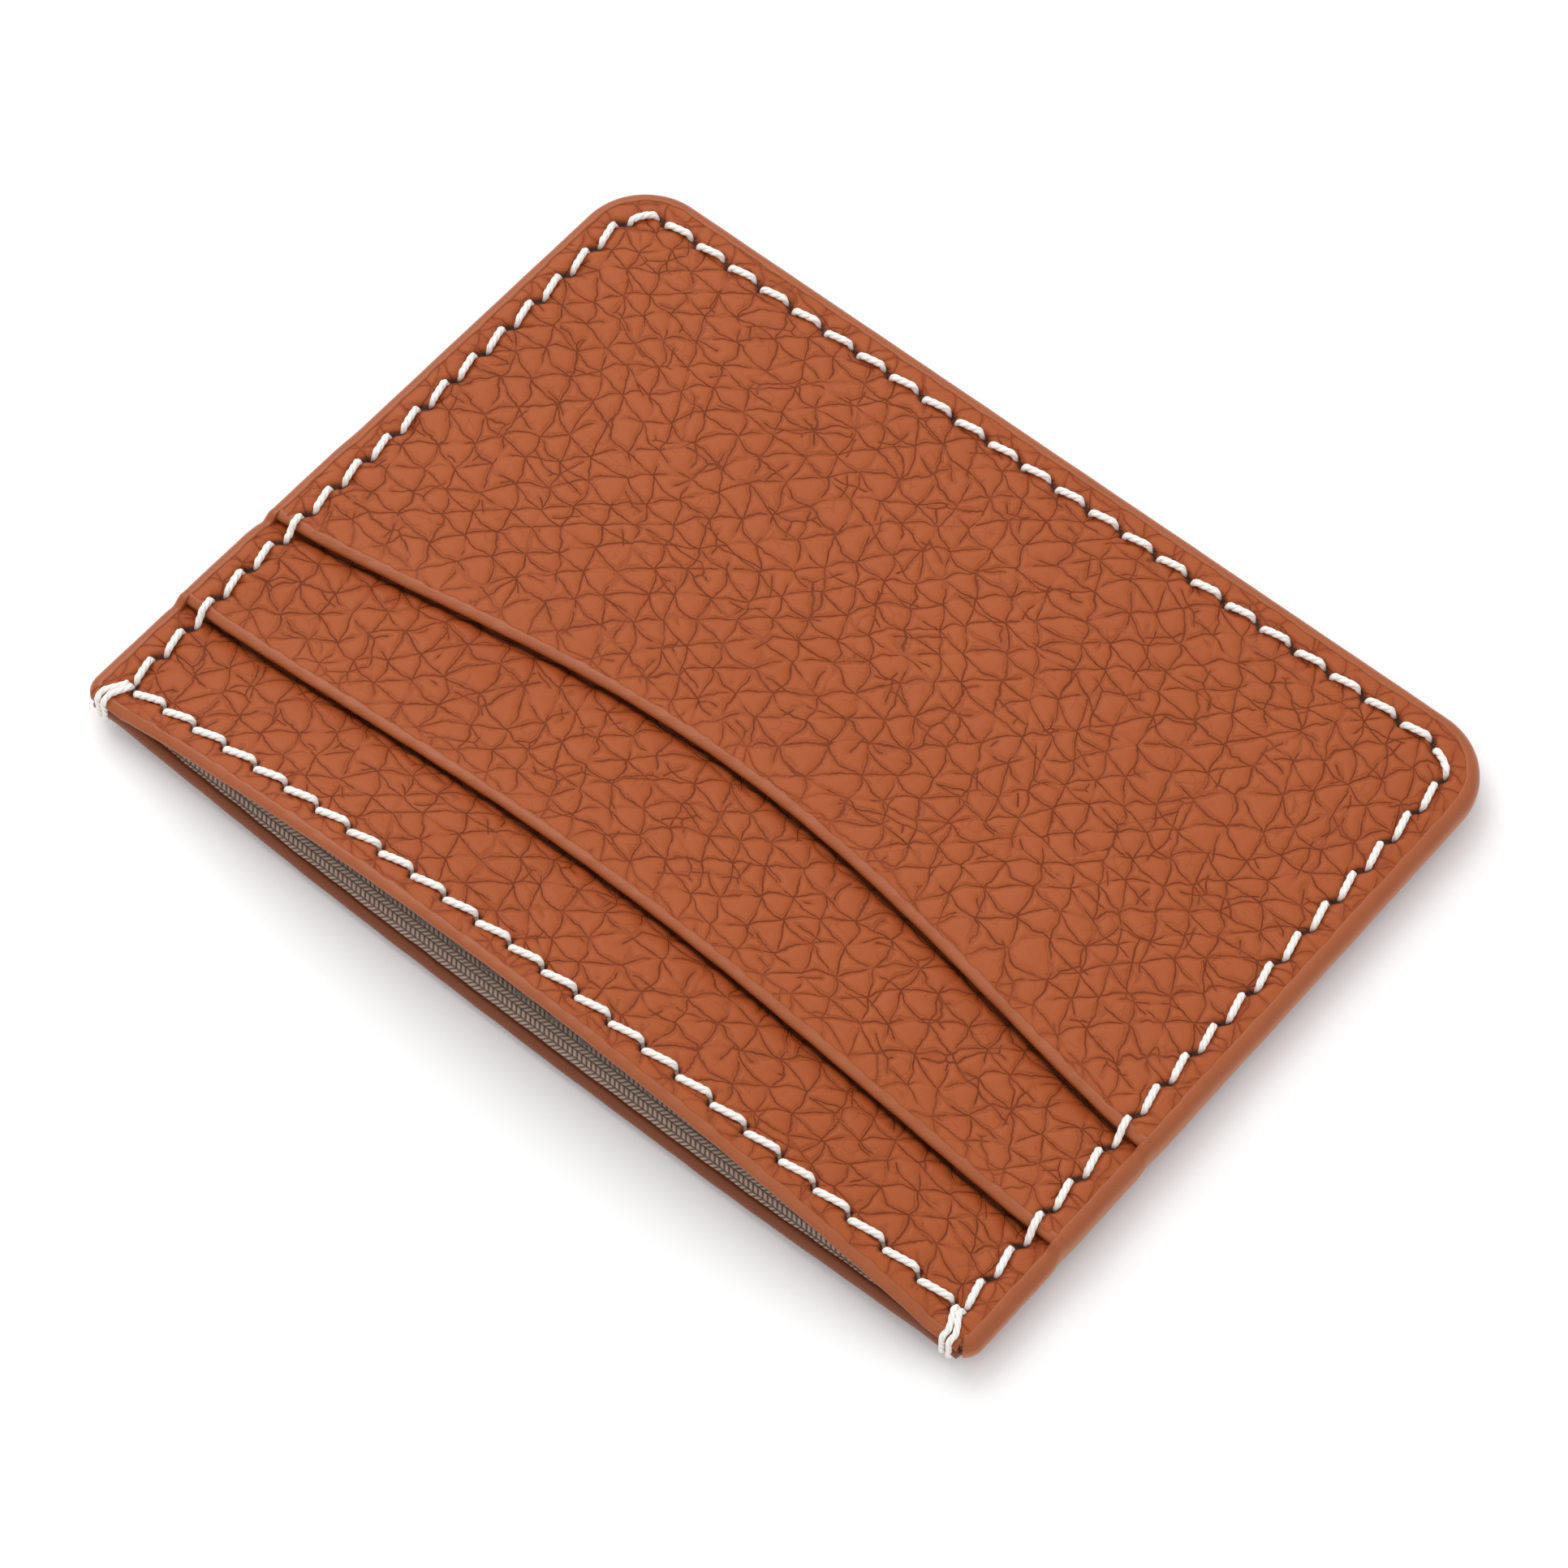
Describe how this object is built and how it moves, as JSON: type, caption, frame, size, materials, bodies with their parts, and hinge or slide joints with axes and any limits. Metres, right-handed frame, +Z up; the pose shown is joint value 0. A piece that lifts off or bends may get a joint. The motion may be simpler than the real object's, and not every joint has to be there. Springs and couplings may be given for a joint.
{
  "type": "card holder",
  "caption": "Flat sewn leather card holder with two card slots on its front and a lined pocket open along one long edge.",
  "frame": {"origin": "middle of the object's footprint, on the face that it rests on", "axes": "+X along the open mouth, +Y from the mouth to the closed edge, +Z up through the front"},
  "size_m": [0.101, 0.0746, 0.0101],
  "materials": {
    "leather": "pebbled full grain, satin",
    "edge_paint": "smooth satin",
    "lining": "fine matt twill",
    "thread": "twisted, lightly waxed",
    "lining_thread": "twisted, lightly waxed"
  },
  "bodies": {
    "root": {"back_panel": "leather", "back_lining": "lining", "front_lining": "lining", "front_panel": "leather", "upper_pocket": "leather", "pocket_divider": "lining", "lower_pocket": "leather", "side_edge_paint": "edge_paint", "front_mouth_edge_paint": "edge_paint", "back_mouth_edge_paint": "edge_paint", "upper_slot_edge_paint": "edge_paint", "lower_slot_edge_paint": "edge_paint", "side_needle_thread": "thread", "side_bobbin_thread": "thread", "front_mouth_thread": "thread", "front_mouth_inner_thread": "lining_thread", "back_mouth_thread": "thread", "back_mouth_inner_thread": "lining_thread", "left_corner_tack": "thread", "right_corner_tack": "thread"}
  },
  "joints": []
}
